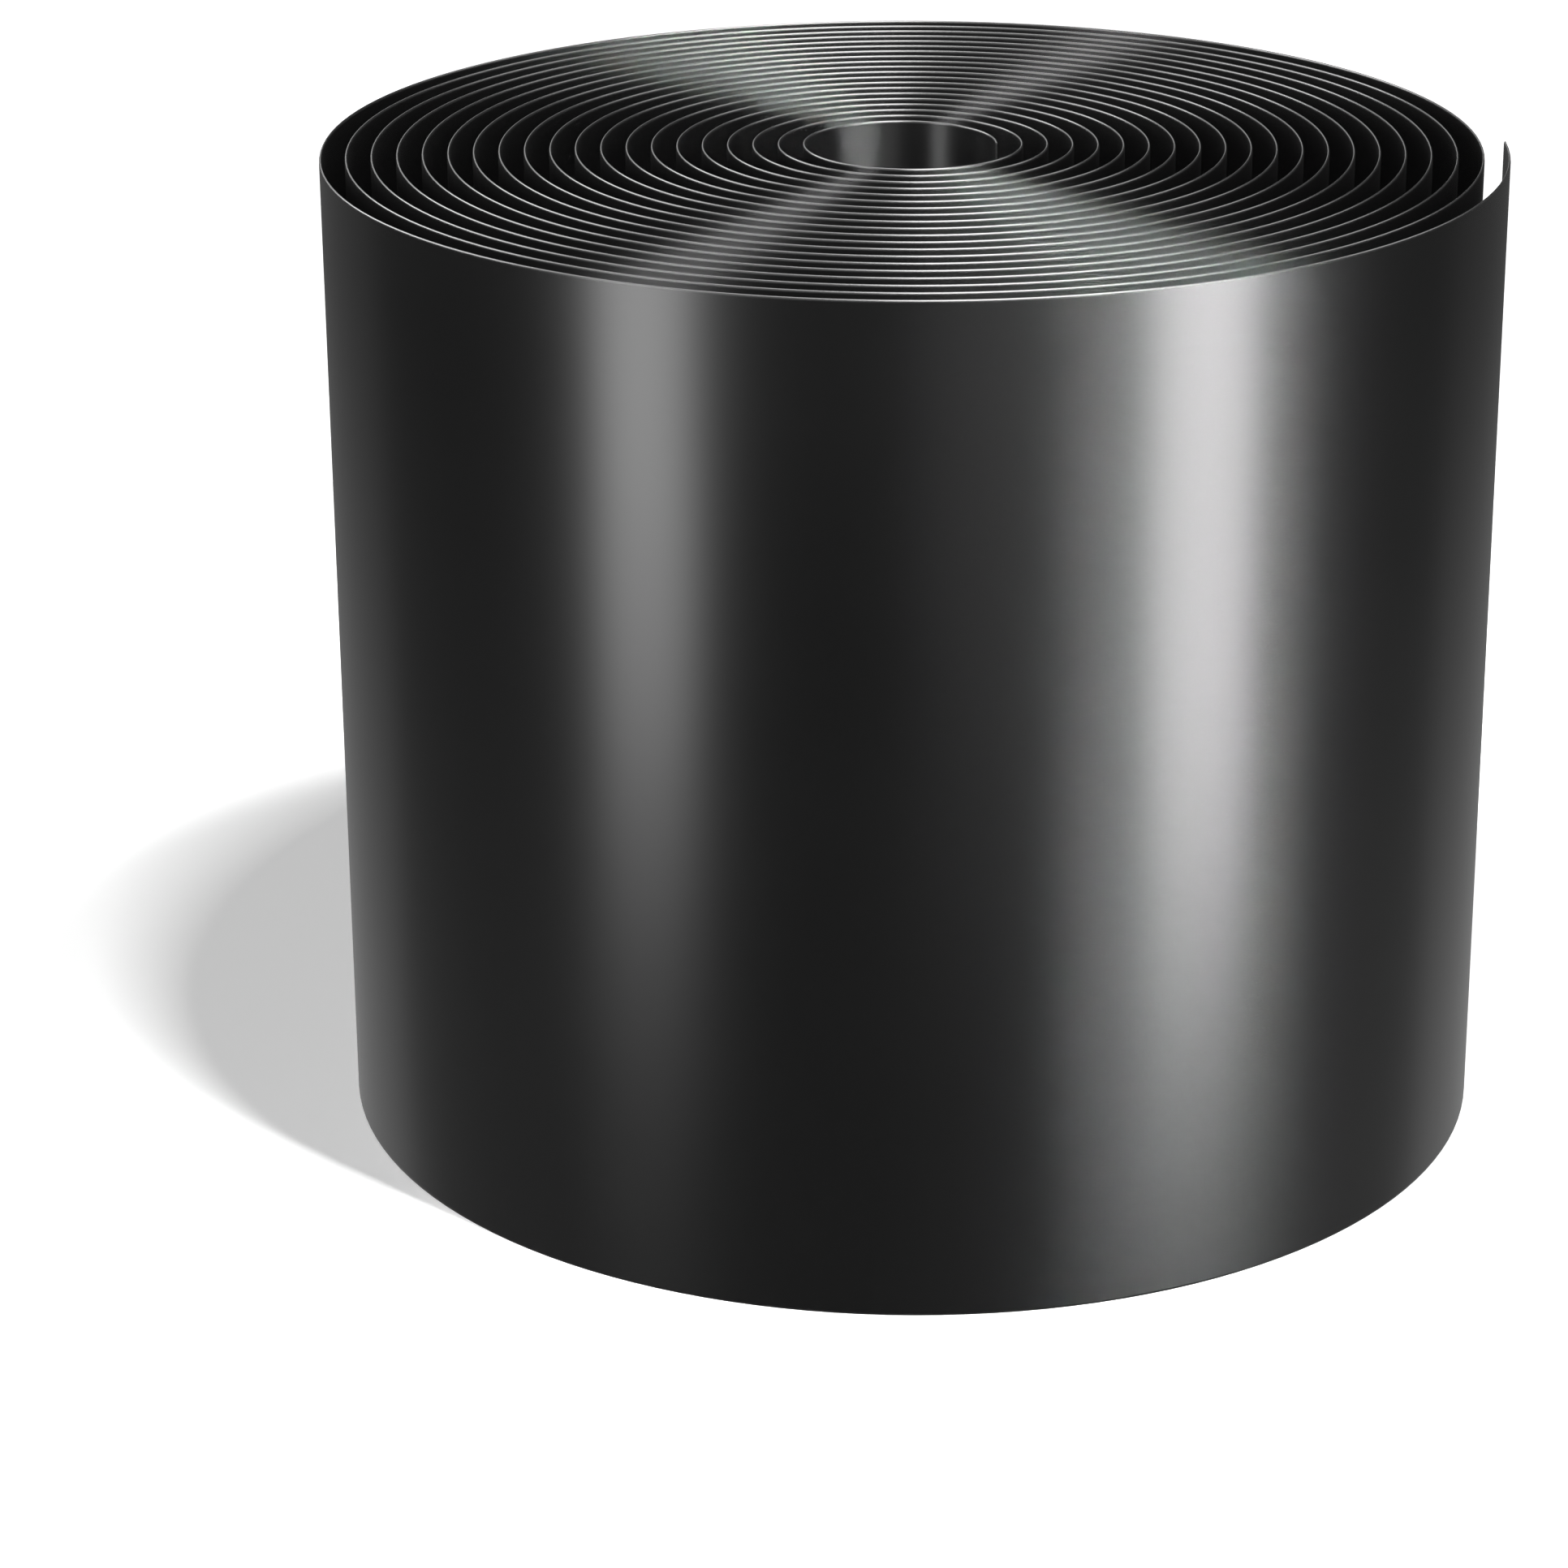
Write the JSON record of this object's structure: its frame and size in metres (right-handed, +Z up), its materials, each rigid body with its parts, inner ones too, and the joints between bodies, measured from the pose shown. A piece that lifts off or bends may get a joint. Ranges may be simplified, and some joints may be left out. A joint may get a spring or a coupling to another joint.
{
  "type": "steel landscape edging coil",
  "caption": "Open coil of thin black coated steel strip standing on its edge, for edging lawns and beds; the turns lie apart around an open bore.",
  "frame": {"origin": "on the axis of the coil's bore, level with the strip's lower edge", "axes": "+Z up along the bore's axis; +X towards the strip's two cut ends; seen from above the strip winds outward anticlockwise"},
  "size_m": [0.2988, 0.2956, 0.254],
  "materials": {
    "coated_steel": "satin"
  },
  "bodies": {
    "root": {"edging_strip": "coated_steel"}
  },
  "joints": []
}
